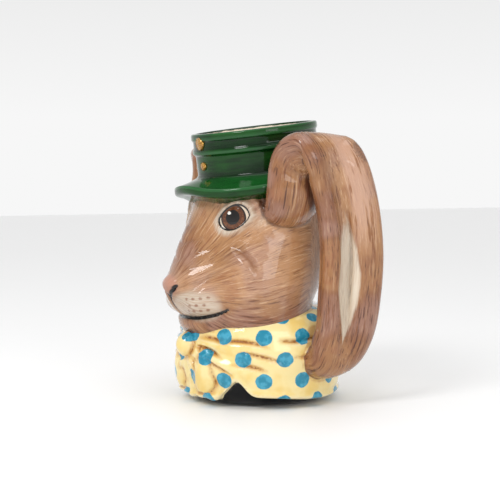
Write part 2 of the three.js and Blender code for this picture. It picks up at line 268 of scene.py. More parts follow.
def pleats(p):
    """Height of the folds in the cloth, running out from the knot and then round the jug."""
    around = np.abs(from_front(p)) * DEGREE * BUST_RADIUS
    rise = p[2] - 34
    far = np.hypot(around, rise)
    fan = np.arctan2(rise, around + 3) / DEGREE
    near_knot = smoothstep(6, 14, far) * (1 - 0.8 * smoothstep(24, 62, far))
    wave = np.sin(fan * 0.20 + 0.6) + 0.6 * np.sin(fan * 0.37 + 2.1 + 0.02 * far)
    return 0.85 * near_knot * wave - 1.5 * hump(crease_distance(p), 1.1)


def crease_distance(p):
    """Distance to the creases in the cloth, each an arc that fades out at both ends."""
    around = np.abs(from_front(p)) * DEGREE * BUST_RADIUS
    nearest = np.full(np.shape(around), 30.0)
    for start, end, height, slope, bend in CREASES:
        t = (around - start) / (end - start)
        line = height + slope * (around - start) + bend * 4 * t * (1 - t)
        past = np.maximum(np.maximum(start - around, around - end), 0)
        fade = 1.2 * np.abs(2 * np.clip(t, 0, 1) - 1) ** 3
        nearest = np.minimum(nearest, np.hypot(p[2] - line, past) + fade)
    return nearest


def cloth_parts(p):
    """Distances to the cloth's rolled and draped body, its two tails, and its knot."""
    ring = np.hypot(p[0], p[1]) - (BUST_RADIUS - 5)
    roll = (np.hypot(ring / 8.5, (p[2] - 28 - 0.06 * p[1]) / 9.5) - 1) * 8.5
    robe = coat_field(p, BUST_RADIUS + CLOTH, DRAPE_ROUNDING)
    above_hem = p[2] - hem(p)
    robe = robe - 0.9 * hump(above_hem - 1.4, 1.3) + 0.4 * hump(above_hem - 4, 1.3)
    drape = blend_max(robe, -0.9 * above_hem, 1.2)
    tail = ellipsoid(near_side(p), (11, 2 - BUST_RADIUS, 19), (9.5, 6.5, 15))
    tail = np.maximum(tail, (8 - p[2]) * 0.9 - 0.12 * (np.abs(p[0]) - 11) ** 2)
    knot = ellipsoid(p, (0, -2.5 - BUST_RADIUS, 32), (6.5, 7.5, 7))
    return blend_min(drape, roll, 7) - pleats(p), tail, knot


def seam_distance(p):
    """Roughly the distance to where the tails and the knot lie on the cloth under them."""

    def gaps(x, y, z):
        body, tail, knot = cloth_parts((x, y, z))
        return np.stack((body - tail, np.minimum(body, tail) - knot))

    here = gaps(*p)
    reach = 0.5
    steps = (gaps(p[0] + reach, p[1], p[2]), gaps(p[0], p[1] + reach, p[2]), gaps(p[0], p[1], p[2] + reach))
    steep = np.sqrt(sum(((ahead - here) / reach) ** 2 for ahead in steps))
    tails, knot = np.abs(here) / np.maximum(steep, 0.4)
    return np.minimum(tails + 2 * np.maximum(here[1], 0), knot)


def cloth_field(p):
    body, tail, knot = cloth_parts(p)
    return blend_min(blend_min(body, tail, 0.7), knot, 0.5) + 0.45 * hump(seam_distance(p), 0.9)


def eye_place(p):
    """Coordinates in the eye's own frame: back along the lids, up, and out of the head."""
    side = np.stack(near_side(p), -1) - EYE * UNIT
    out = unit(EYE_OUT)
    back = unit(np.cross((0, 0, 1), out))
    up = np.cross(out, back)
    return side @ back, side @ up, side @ out


def lid_opening(p):
    """Signed distance to the almond between the lids, negative inside."""
    back, up, _ = eye_place(p)
    length, height = EYE_LENGTH, EYE_HEIGHT
    tilt = 0.16
    a, b = back - tilt * up, up - 0.14 * back - 0.3
    radius = (length**2 + height**2) / (2 * height)
    return np.maximum(np.hypot(a, b - (radius - height)), np.hypot(a, b + (radius - height))) - radius


def mouth_distance(p):
    """Distance to the line of the mouth: a short cleft under the nose, then under each pad to the cheek."""
    side = np.abs(p[0])
    height = MOUTH_HEIGHT + 0.0125 * np.maximum(side - 6, 0) ** 2
    along = np.maximum(side - MOUTH_END, 0)
    lips = np.hypot(p[2] - height, along)
    cleft = np.hypot(side, np.maximum(p[2] - CLEFT_TOP, 0) + np.maximum(MOUTH_HEIGHT - p[2], 0))
    rise = np.clip((side + p[2] - CLEFT_TOP) / 2, 0, 6.5)
    nostrils = np.hypot(side - rise, p[2] - CLEFT_TOP - rise)
    front = smoothstep(-18, -22, p[1])
    return np.where(front > 0, np.minimum.reduce((lips, cleft, nostrils)), 50)


def cheek_fold(p):
    """Distance out past the fold behind each side of the muzzle, an arc, and how deep the fold is there."""
    ahead, rise = p[1] + 38.5, p[2] - 72.5
    turn = np.arctan2(rise, ahead) / DEGREE
    depth = plateau(-20, 20, 38, 80, turn) * smoothstep(10, 18, np.abs(p[0]))
    return np.hypot(ahead, rise) - 14.5, depth


def head_relief(p):
    """Small forms on the head, as heights above its masses."""
    side = np.abs(p[0])
    behind, upward, out = eye_place(p)
    facing = smoothstep(0, 4, out)
    lid = lid_opening(p)
    relief = facing * (1.1 * hump(lid - 1.2, 1.3) - 0.5 * hump(lid + 0.7, 0.9))
    relief = relief - 1.3 * hump(mouth_distance(p), 1.3)
    above = plateau(2.2, 4, 9, 13, lid) * facing
    relief = relief + 0.4 * above * np.sin(1.75 * lid - 1) * smoothstep(-2, 5, upward + 0.5 * behind)
    fold = (p[2] - 66 - 0.75 * (p[1] + 46)) / 1.25
    on_muzzle = plateau(-53, -47, -38, -30, p[1])
    relief = relief - 0.9 * hump(fold, 1.6) * on_muzzle + 0.6 * hump(fold + 3.2, 2) * on_muzzle
    wrinkle = plateau(68, 76, 92, 102, p[2]) * (1 - smoothstep(10, 19, side)) * smoothstep(-30, -38, p[1])
    relief = relief - 0.5 * wrinkle * hump(np.sin(0.36 * p[2] - 0.16 * side + 0.4), 0.35)
    fan = np.arctan2(upward + 1, behind - 6)
    crow = plateau(7.5, 12, 18, 25, behind) * (1 - smoothstep(0.7, 1.1, np.abs(fan))) * facing
    relief = relief - 0.55 * crow * hump(np.sin(7 * fan + 0.6), 0.45)
    past, depth = cheek_fold(p)
    relief = relief + depth * (1.5 * hump(past + 5, 4) - 1.1 * hump(past, 1.5))
    nostril = np.hypot(np.hypot(side - 4.6, (p[2] - 62.5) * 1.5), np.maximum(p[1] + 50, 0))
    return relief - 1.2 * hump(nostril, 1.5)


def head_mass(p):
    total = None
    for centre, half, pitch, blend in MASSES.values():
        side = np.abs(p[0]) if centre[0] else p[0]
        mass = ellipsoid((side, p[1], p[2]), [n * UNIT for n in centre], [n * UNIT for n in half], pitch)
        total = mass if total is None else blend_min(total, mass, blend * UNIT)
    return total


def head_field(p):
    ball = np.linalg.norm(np.stack(eye_place(p)), axis=0) - EYE_RADIUS
    return blend_min(head_mass(p), ball, 2.5) - head_relief(p)


def catmull_rom(rows, count):
    """Evenly stepped points on a curve through rows of numbers."""
    rows = np.array(rows, float)
    rows = np.vstack((2 * rows[0] - rows[1], rows, 2 * rows[-1] - rows[-2]))
    t = np.linspace(0, len(rows) - 3, count)
    i = np.minimum(t.astype(int), len(rows) - 4)
    f = (t - i)[:, None]
    a, b, c, d = (rows[i + k] for k in range(4))
    return b + f * ((c - a) / 2 + f * (a - 2.5 * b + 2 * c - d / 2 + f * (1.5 * (b - c) + (d - a) / 2)))


def polar(radius, degrees):
    return radius * math.cos(degrees * DEGREE), radius * math.sin(degrees * DEGREE)


def ear_path(stations, first, last):
    """Samples along one run of an ear: middle, direction, across, out, and its three sizes."""
    rows = [(*polar(r, d), z, *sizes, *polar(1, turn)) for r, d, z, *sizes, turn in stations]
    fine = catmull_rom(rows, EAR_SAMPLES)
    middle = fine[:, :3]
    along = unit(np.gradient(middle, axis=0))
    across = np.column_stack((fine[:, 6:8], np.zeros(len(fine))))
    across = unit(across - along * (across * along).sum(1, keepdims=True))
    length = np.concatenate(([0], np.cumsum(np.linalg.norm(np.diff(middle, axis=0), axis=1))))
    path = {
        "middle": middle,
        "along": along,
        "across": across,
        "out": np.cross(along, across),
        "sizes": fine[:, 3:6],
        "length": length,
    }
    return {name: values[int(first * EAR_SAMPLES) : int(last * EAR_SAMPLES)] for name, values in path.items()}


# Each ear rises in one run and falls in another, which overlap a little at the top
PATHS = {
    "near": (ear_path(NEAR_EAR, 0, 0.47), ear_path(NEAR_EAR, 0.31, 1)),
    "far": (ear_path(FAR_EAR, 0, 0.5), ear_path(FAR_EAR, 0.34, 1)),
}


def ear_place(points, path):
    """Where points lie in an ear: along, across, out, how far past its ends, and the sizes there."""
    nearest = np.argmin((path["middle"] ** 2).sum(1) - 2 * points @ path["middle"].T, axis=1)
    offset = points - path["middle"][nearest]
    ahead = (offset * path["along"][nearest]).sum(1)
    step = np.gradient(path["length"])[nearest]
    count = len(path["middle"])
    place = np.clip(nearest + ahead / step, 0, count - 1)
    beyond = np.abs(nearest + ahead / step - place) * step
    low = np.minimum(place.astype(int), count - 2)
    share = (place - low)[:, None]

    def between(name):
        values = path[name]
        return values[low] * (1 - share) + values[low + 1] * share

    offset = points - between("middle")
    across = (offset * unit(between("across"))).sum(1)
    out = (offset * unit(between("out"))).sum(1)
    length = path["length"][low] * (1 - share[:, 0]) + path["length"][low + 1] * share[:, 0]
    return length, across, out, beyond, between("sizes").T


def ear_section(u, v, sizes):
    """Distance to an ear's section: a web, with a roll along its front edge and a broad flap behind."""
    w, t, opened = sizes
    web = ellipse(u, v + 0.5 * t * opened, w, t * (1 - 0.5 * opened))
    roll = np.hypot(u + w - 0.75 * t, v - 0.25 * t * opened) - 0.75 * t
    flap = ellipse(u - 0.48 * w, v - 0.45 * t * opened, 0.52 * w, 0.62 * t)
    return blend_min(blend_min(web, roll, 2), flap, 2)


def nearest_run(points, which):
    """Length along, across, out and sizes in whichever run of an ear each point lies on."""
    chosen, closest = None, None
    for path in PATHS[which]:
        length, across, out, beyond, sizes = ear_place(points, path)
        away = np.abs(ear_section(across, out, sizes)) + 3 * beyond
        values = np.stack((length, across, out, *sizes))
        if chosen is None:
            chosen, closest = values, away
        chosen = np.where(away < closest, values, chosen)
        closest = np.minimum(away, closest)
    return chosen[0], chosen[1], chosen[2], chosen[3:]


def ear_field(p, which):
    shape = np.broadcast(*p).shape
    points = np.stack([np.broadcast_to(c, shape).ravel() for c in p], 1).astype(float)
    if which == "far":
        points[:, 0] *= -1
    total = np.full(len(points), 40.0)
    for path in PATHS[which]:
        low, high = path["middle"].min(0) - 24, path["middle"].max(0) + 24
        outside = np.maximum(np.maximum(low - points, points - high), 0).max(1)
        d = outside + 4.0
        close = outside <= 0
        _, across, out, beyond, sizes = ear_place(points[close], path)
        section = ear_section(across, out, sizes)
        d[close] = np.where(beyond > 0.01, np.hypot(np.maximum(section, 0), beyond), section)
        total = blend_min(total, d, 1.2)
    reach, _, top = (NEAR_EAR if which == "near" else FAR_EAR)[5][:3]
    hood = ellipsoid(points.T, (reach, 1, top - 7), HOOD)
    return blend_min(total, hood, 4).reshape(shape)


def organic_field(p):
    head = blend_min(head_field(p), ear_field(p, "near"), 2)
    head = blend_min(head, ear_field(p, "far"), 2)
    body = np.minimum(coat_field(p), cloth_field(p))
    return np.maximum(np.minimum(head, body), -p[2])


def near_surface(field, lo, hi, step):
    """Field values on a grid, exact near the surface and only of the right sign elsewhere."""
    coarse = 4
    n = [int(math.ceil((hi[i] - lo[i]) / step / coarse)) * coarse + 1 for i in range(3)]
    axes = [np.float32(lo[i]) + np.float32(step) * np.arange(n[i], dtype=np.float32) for i in range(3)]
    rough_axes = [a[::coarse] for a in axes]
    rough = field(np.meshgrid(*rough_axes, indexing="ij"))
    nearest = [np.minimum((np.arange(k) + coarse // 2) // coarse, (k - 1) // coarse) for k in n]
    values = rough[np.ix_(*nearest)].astype(np.float32)
    wanted = np.abs(values) < step * coarse * 2.2
    i, j, k = np.nonzero(wanted)
    values[wanted] = field((axes[0][i], axes[1][j], axes[2][k]))
    return values


def surface_nets(values, lo, step):
    """Vertices and quads of the zero level of a grid of values."""
    inside = values < 0
    n = np.array(values.shape)
    corners = [(a, b, c) for a in (0, 1) for b in (0, 1) for c in (0, 1)]

    def shifted(array, corner):
        a, b, c = corner
        return array[a : n[0] - 1 + a, b : n[1] - 1 + b, c : n[2] - 1 + c]

    count = sum(shifted(inside, c).astype(np.int8) for c in corners)
    active = (count > 0) & (count < 8)
    cells = np.argwhere(active)
    index = np.full(active.shape, -1, np.int32)
    index[active] = np.arange(len(cells))
    total = np.zeros((len(cells), 3))
    hits = np.zeros(len(cells))
    for a in corners:
        for axis in range(3):
            if a[axis]:
                continue
            b = tuple(1 if i == axis else a[i] for i in range(3))
            fa, fb = shifted(values, a)[active], shifted(values, b)[active]
            crossing = (fa < 0) != (fb < 0)
            t = np.where(crossing, fa / np.where(crossing, fa - fb, 1), 0)
            point = np.array(a, float)[None, :].repeat(len(cells), 0)
            point[:, axis] += t
            total[crossing] += point[crossing]
            hits[crossing] += 1
    verts = (cells + total / hits[:, None]) * step + np.array(lo)
    quads = []
    for axis in range(3):
        u, v = (axis + 1) % 3, (axis + 2) % 3
        first = [slice(1, n[i] - 1) for i in range(3)]
        second = list(first)
        first[axis], second[axis] = slice(0, n[axis] - 1), slice(1, n[axis])
        a, b = inside[tuple(first)], inside[tuple(second)]
        at = np.argwhere(a != b)
        up = a[tuple(at.T)]
        base = at.copy()
        base[:, u] += 1
        base[:, v] += 1
        ring = []
        for du, dv in ((1, 1), (0, 1), (0, 0), (1, 0)):
            cell = base.copy()
            cell[:, u] -= du
            cell[:, v] -= dv
            ring.append(index[tuple(cell.T)])
        quad = np.stack(ring, 1)
        quad[~up] = quad[~up][:, ::-1]
        quads.append(quad)
    return verts, np.concatenate(quads)


def gradient(field, points, reach=0.05):
    """Directions in which a field rises, and how steeply."""
    parts = []
    for axis in range(3):
        step = np.zeros(3)
        step[axis] = reach
        parts.append(field((points + step).T) - field((points - step).T))
    slope = np.stack(parts, 1)
    length = np.linalg.norm(slope, axis=1, keepdims=True)
    return slope / np.maximum(length, 1e-9), length[:, 0] / (2 * reach)


def settle(field, points, rounds=3, most=1.0):
    """Moves points onto a field's surface."""
    for _ in range(rounds):
        normal, steep = gradient(field, points)
        move = np.clip(field(points.T) / np.maximum(steep, 0.3), -most, most)
        points = points - normal * move[:, None]
    return points


def add_object(name, data):
    made = bpy.data.objects.new(name, data)
    bpy.context.scene.collection.objects.link(made)
    return made


def mesh_object(name, points, faces):
    mesh = bpy.data.meshes.new(name)
    mesh.from_pydata((points * MM).tolist(), [], faces.tolist() if hasattr(faces, "tolist") else faces)
    mesh.update()
    mesh.shade_smooth()
    return add_object(name, mesh)


def brim_radius(angle):
    """Plan of the brim: an ellipse reaching further forward than back."""
    middle = (BRIM_BACK - PEAK_REACH) / 2
    a, b = BRIM_SIDE, (BRIM_BACK + PEAK_REACH) / 2
    c, s = np.cos(angle), np.sin(angle)
    A = (c / a) ** 2 + (s / b) ** 2
    B = -2 * s * middle / b**2
    C = (middle / b) ** 2 - 1
    return np.maximum((-B + np.sqrt(B * B - 4 * A * C)) / (2 * A), BAND_RADIUS + 0.4)


def brim_sag(angle, radius):
    """How far the brim hangs: its sides lower than the middle of the peak."""
    turned = np.degrees(np.arccos(np.clip(-np.sin(angle), -1, 1)))
    reach = np.clip((radius - BAND_RADIUS) / (PEAK_REACH - BAND_RADIUS), 0, 1)
    return PEAK_LIFT * (1 - np.exp(-((turned / 24) ** 2))) * reach**0.7


def into_cap(p):
    """World to the tilted cap's own frame, whose origin is on the axis under the brim."""
    c, s = math.cos(CAP_TILT * DEGREE), math.sin(CAP_TILT * DEGREE)
    up = p[2] - FIGURE_HEIGHT - CAP_SEAT
    return p[0], p[1] * c + up * s, up * c - p[1] * s


def out_of_cap(x, y, z):
    c, s = math.cos(CAP_TILT * DEGREE), math.sin(CAP_TILT * DEGREE)
    return np.stack((x, y * c - z * s, FIGURE_HEIGHT + CAP_SEAT + y * s + z * c), -1)


def full_turn(segments):
    """Angles of evenly spaced points round the axis."""
    return np.arange(segments) * 2 * math.pi / segments


def skin(rings, first, last):
    """Points and faces of a closed skin through rings of points, with a middle point at each end."""
    count, segments = len(rings), len(rings[0])
    faces = []
    for j in range(count - 1):
        for i in range(segments):
            k = (i + 1) % segments
            faces.append((j * segments + i, j * segments + k, (j + 1) * segments + k, (j + 1) * segments + i))
    low, high = count * segments, count * segments + 1
    for i in range(segments):
        k = (i + 1) % segments
        faces.append((low, k, i))
        faces.append((high, (count - 1) * segments + i, (count - 1) * segments + k))
    return np.concatenate((*rings, first, last)), faces


def on_axis(place, height):
    return place(np.zeros(1), np.zeros(1), np.array([height]))


def lathe(rows, segments, place):
    """A closed skin through rows of (radius, height), each of which varies with the angle."""
    angle = full_turn(segments)
    rings = [place(radius * np.cos(angle), radius * np.sin(angle), height) for radius, height in rows]
    return skin(rings, on_axis(place, np.mean(rows[0][1])), on_axis(place, np.mean(rows[-1][1])))


def rounded(corners, radius, steps=4):
    """A profile with its marked corners rounded: (radius, height, rounding share)."""
    points = []
    for i, (r, z, share) in enumerate(corners):
        if not share or i in (0, len(corners) - 1):
            points.append((r, z))
            continue
        here = np.array((r, z), float)
        before = np.array(corners[i - 1][:2], float) - here
        after = np.array(corners[i + 1][:2], float) - here
        reach = min(radius * share, 0.45 * np.linalg.norm(before), 0.45 * np.linalg.norm(after))
        start = here + before / np.linalg.norm(before) * reach
        stop = here + after / np.linalg.norm(after) * reach
        for t in np.linspace(0, 1, steps + 1):
            points.append(tuple((1 - t) ** 2 * start + 2 * t * (1 - t) * here + t * t * stop))
    return points


def cap_rows(angle):
    """Profile of the cap, from under the brim to the rim, at each angle."""
    edge = brim_radius(angle)
    sag = brim_sag(angle, edge)
    proud = smoothstep(0.5, 6, edge - BAND_RADIUS)  # nothing of the brim is left at the back
    rows = [(np.full_like(angle, 20.0), -12 + 0 * angle)]
    rows.append((edge - 9, -4 - sag))
    for t in np.linspace(0, 1, 6):
        radius = edge - 4.5 * (1 - t) ** 1.5 * proud - 0.5 * t * proud
        rows.append((radius, 0.8 * t - sag - 1.2 * (1 - t) * proud))
    lip = BRIM_THICKNESS / 2 - 0.4
    for t in np.linspace(0, math.pi, 7):
        rows.append((edge - 0.5 * proud + 0.5 * proud * math.sin(t), 0.8 + lip - lip * math.cos(t) - sag))
    for t in (0.08, 0.2, 0.4, 0.6, 0.8, 0.92):
        radius = edge + (BAND_RADIUS - edge) * t
        height = BRIM_THICKNESS + BRIM_RISE * t**1.3 - sag * (1 - t) ** 0.7
        rows.append((radius, height))
    corners = [
        (BAND_RADIUS + 0.6, BAND_BASE - 0.2, 0),
        (BAND_RADIUS, BAND_BASE + 0.6, 0.5),
        (BAND_RADIUS, BAND_TOP - 1.6, 1),
        (BAND_RADIUS + 1.4, BAND_TOP - 0.7, 1),
        (BAND_RADIUS + 1.5, BAND_TOP + 1.2, 1),
        (CROWN_RADIUS - 0.3, BAND_TOP + 2.4, 1),
        (CROWN_RADIUS - 0.4, RIM_TOP - 4.4, 1),
        (CROWN_RADIUS + 0.5, RIM_TOP - 3.4, 1),
        (CROWN_RADIUS + 0.4, RIM_TOP, 1),
        (CROWN_RADIUS - 2.6, RIM_TOP, 0),
    ]
    for r, z in rounded(corners, 1.3):
        rows.append((r + 0 * angle, z + 0 * angle))
    return rows


def ray_to_skin(field, angle, height, level, slope):
    """Distance from the axis to a field's level, found by stepping in from outside."""
    radius = np.full(angle.shape, 70.0)
    c, s = np.cos(angle), np.sin(angle)
    for _ in range(90):
        d = field((radius * c, radius * s, height + slope * radius * s)) - level
        radius = np.maximum(radius - np.clip(d * 0.7, -1, 4), 4)
    return radius


def shell_field(p):
    """The vessel without its ears, knot and tails."""
    return np.minimum(head_mass(p), coat_field(p))


def cavity_mesh():
    """The hollow: a flat floor, walls that follow the head, and the inside of the crown."""
    angle = full_turn(HOLLOW_SEGMENTS)
    tilt = math.tan(CAP_TILT * DEGREE)
    floor = [(0.5, FLOOR, 0), (FOOT_RADIUS - WALL, FLOOR, 0), (BUST_RADIUS - WALL - 5, FLOOR + 4, 1)]
    rows = [(r + 0 * angle, z + 0 * angle) for r, z in rounded(floor, 3)]
    for z in np.linspace(FLOOR + 9, FIGURE_HEIGHT - 4, 30):
        slope = tilt * smoothstep(0.5 * FIGURE_HEIGHT, FIGURE_HEIGHT, z)
        radius = ray_to_skin(shell_field, angle, z, -WALL, slope)
        rows.append((radius, z + slope * radius * np.sin(angle)))
    rings = [np.stack((r * np.cos(angle), r * np.sin(angle), z), -1) for r, z in rows]
    throat = CROWN_RADIUS - WALL + 0.4
    lip = CROWN_RADIUS - 1.6
    crown = [
        (BAND_RADIUS - WALL, 1.5, 0),
        (BAND_RADIUS - WALL, BAND_TOP - 1, 1),
        (throat, BAND_TOP + 2, 1),
        (throat, RIM_TOP - 2.5, 1.5),
        (lip, RIM_TOP + 0.6, 0),
        (lip, RIM_TOP + 3, 0),
    ]
    for r, z in rounded(crown, 1.6):
        rings.append(out_of_cap(r * np.cos(angle), r * np.sin(angle), z + 0 * angle))
    return skin(rings, np.array([[0, 0, FLOOR]], float), on_axis(out_of_cap, RIM_TOP + 3.0))


def combine(target, other, operation):
    """Joins or cuts, keeping each part's material, and removes the other object."""
    modifier = target.modifiers.new(operation.lower(), "BOOLEAN")
    modifier.operation = operation
    modifier.object = other
    modifier.solver = "MANIFOLD"
    modifier.material_mode = "TRANSFER"
    graph = bpy.context.evaluated_depsgraph_get()
    made = bpy.data.meshes.new_from_object(target.evaluated_get(graph))
    target.modifiers.clear()
    target.data = made
    bpy.data.objects.remove(other)


def button(radius, reach, height):
    """A domed button on the front of the cap, with a rim."""
    profile = ((0, 1.3), (0.45, 1.2), (0.72, 0.85), (0.8, 0.75), (0.9, 0.95), (1.0, 0.6), (1.02, -1.5))
    sides = 40
    points = []
    for share, proud in profile[1:]:
        for i in range(sides):
            a = 2 * math.pi * i / sides
            out = radius * share
            points.append((out * math.cos(a), -reach - proud, height + out * math.sin(a)))
    points.append((0, -reach - profile[0][1], height))
    points.append((0, -reach + 1.5, height))
    rings = len(profile) - 1
    faces = []
    for i in range(sides):
        k = (i + 1) % sides
        faces.append((rings * sides, i, k))
        faces.append((rings * sides + 1, (rings - 1) * sides + k, (rings - 1) * sides + i))
        for j in range(rings - 1):
            faces.append((j * sides + i, (j + 1) * sides + i, (j + 1) * sides + k, j * sides + k))
    return mesh_object("button", out_of_cap(*np.array(points).T), faces)


def dot_distance(p):
    """Signed distance to the painted dots, set in staggered rows round the cloth."""
    around = np.arctan2(p[0], -p[1]) * BUST_RADIUS
    inward = np.maximum(BUST_RADIUS + 1 - np.hypot(p[0], p[1]), 0)
    rise = p[2] + inward * (smoothstep(24, 32, p[2]) - 1 + smoothstep(10, 16, p[2]))
    row = np.round((rise - 4) / DOT_RISE)
    count = round(2 * math.pi * BUST_RADIUS / DOT_SPACING)
    spacing = 2 * math.pi * BUST_RADIUS / count
    across = around / spacing + 0.5 * (row % 2) + 0.25
    u = (across - np.round(across)) * spacing
    v = rise - 4 - row * DOT_RISE
    return np.hypot(u, v) - DOT_RADIUS


def whisker_distance(p):
    """Signed distance to the little marks that the whiskers grow from, in rows round each pad."""
    side, ahead, rise = np.abs(p[0]) - 4, -34 - p[1], p[2] - 55
    reach = np.sqrt(side**2 + ahead**2 + rise**2)
    turn = np.arctan2(side, ahead)
    lift = np.arcsin(np.clip(rise / np.maximum(reach, 1), -1, 1))
    nearest = np.full(p[0].shape, 9.0)
    for row in range(3):
        for column in range(4 - row % 2):
            mark_turn = 0.42 + 0.21 * column + 0.1 * (row % 2)
            mark_lift = -0.2 + 0.17 * row + 0.02 * column
            across = (turn - mark_turn) * np.cos(lift)
            nearest = np.minimum(nearest, reach * np.hypot(0.75 * across, lift - mark_lift) - 0.75)
    return nearest


def cap_edges(p):
    """Distances to the cap's edges and to its grooves, and height above the edge of its brim."""
    x, y, z = into_cap(p)
    radius, angle = np.hypot(x, y), np.arctan2(y, x)
    edge = brim_radius(angle)
    peak = np.hypot(radius - edge, z - BRIM_THICKNESS + 0.6 + brim_sag(angle, edge))
    edges = (
        (CROWN_RADIUS + 0.3, RIM_TOP - 0.2),
        (CROWN_RADIUS + 0.5, RIM_TOP - 3.2),
        (BAND_RADIUS + 1.5, BAND_TOP + 0.2),
    )
    grooves = (
        (CROWN_RADIUS - 0.4, RIM_TOP - 4.6),
        (CROWN_RADIUS - 0.3, BAND_TOP + 2.6),
        (BAND_RADIUS, BAND_BASE + 0.5),
    )
    thin_glaze_and_highlight = np.minimum.reduce([peak] + [np.hypot(radius - r, z - h) for r, h in edges])
    pooled_glaze_and_shade = np.minimum.reduce([np.hypot(radius - r, z - h) for r, h in grooves])
    return thin_glaze_and_highlight, pooled_glaze_and_shade, z - BRIM_THICKNESS + brim_sag(angle, edge)


def flow(p, ears):
    """Coordinates whose third runs along the fur, so that noise in them draws strokes."""
    axis_z = 62 + 0.25 * (p[1] + 50)
    side, rise = p[0], p[2] - axis_z
    reach = np.maximum(np.hypot(side, rise), 4)
    along = (p[1] + 0.45 * reach) * 0.06
    vector = np.stack((side / reach * 5, rise / reach * 5, along), -1)
    nape = np.stack((side * 0.128, p[1] * 0.05 + 7, -0.06 * p[2] - 0.001 * side**2), -1)
    behind = smoothstep(8, 24, p[1])[:, None]
    vector = vector * (1 - behind) + nape * behind
    for (length, across, out, _), weight, offset in ears:
        ear = np.stack((across * 0.125 + offset, out * 0.10 + 3, length * 0.06), -1)
        vector = vector * (1 - weight[:, None]) + ear * weight[:, None]
    return vector


def fur_shade(p, ears):
    """How dark the fur is airbrushed, from 0 to 1, with painted shade under the jaw and on the side of each
    ear that faces the head.
    """
    head = near_side(p)
    bridge = 1 - smoothstep(0, 16, ellipsoid(head, (0, -44, 84), (13, 12, 16)) + 8)
    under_eye = 1 - smoothstep(0, 12, ellipsoid(head, (22, -34, 84), (9, 9, 5)) + 4)
    crown = smoothstep(112, 120, p[2]) * 0.4
    # Painted shade under the jaw.
    jaw = (1 - smoothstep(42, 66, p[2])) * 0.85
    back = smoothstep(4, 30, p[1]) * 0.55
    shade = np.maximum.reduce((0.75 * bridge, 0.5 * under_eye, crown, jaw, back)) + 0.12
    for (length, across, out, (w, t, _)), weight, _ in ears:
        lobe = 1 - smoothstep(FOLD_LENGTH - 26, FOLD_LENGTH - 8, length)
        lobe = 0.35 + 0.4 * np.abs(across / w) ** 2 * lobe + 0.25 * lobe
        front = 1 - smoothstep(-0.7 * w, -0.05 * w, across)
        high = 1 - smoothstep(FOLD_LENGTH + 20, FOLD_LENGTH + 60, length)
        back_edge = smoothstep(0.3 * w, 0.9 * w, across)
        tip = 1 - smoothstep(30, 56, p[2])
        # Painted shade on the side of each ear that faces the head.
        under = smoothstep(0.1 * t, -0.4 * t, out)
        lobe = lobe * (1 - smoothstep(FOLD_LENGTH - 6, FOLD_LENGTH + 10, length))
        low = smoothstep(FOLD_LENGTH + 24, FOLD_LENGTH + 60, length)
        edges = np.maximum((0.75 + 0.25 * high) * front, 0.45 * back_edge)
        ear = np.maximum.reduce((lobe, edges, 1.1 * low, 0.75 * tip, 0.6 * under))
        shade = shade * (1 - weight) + np.maximum(ear, 0.22) * weight
    return np.clip(shade, 0, 1)


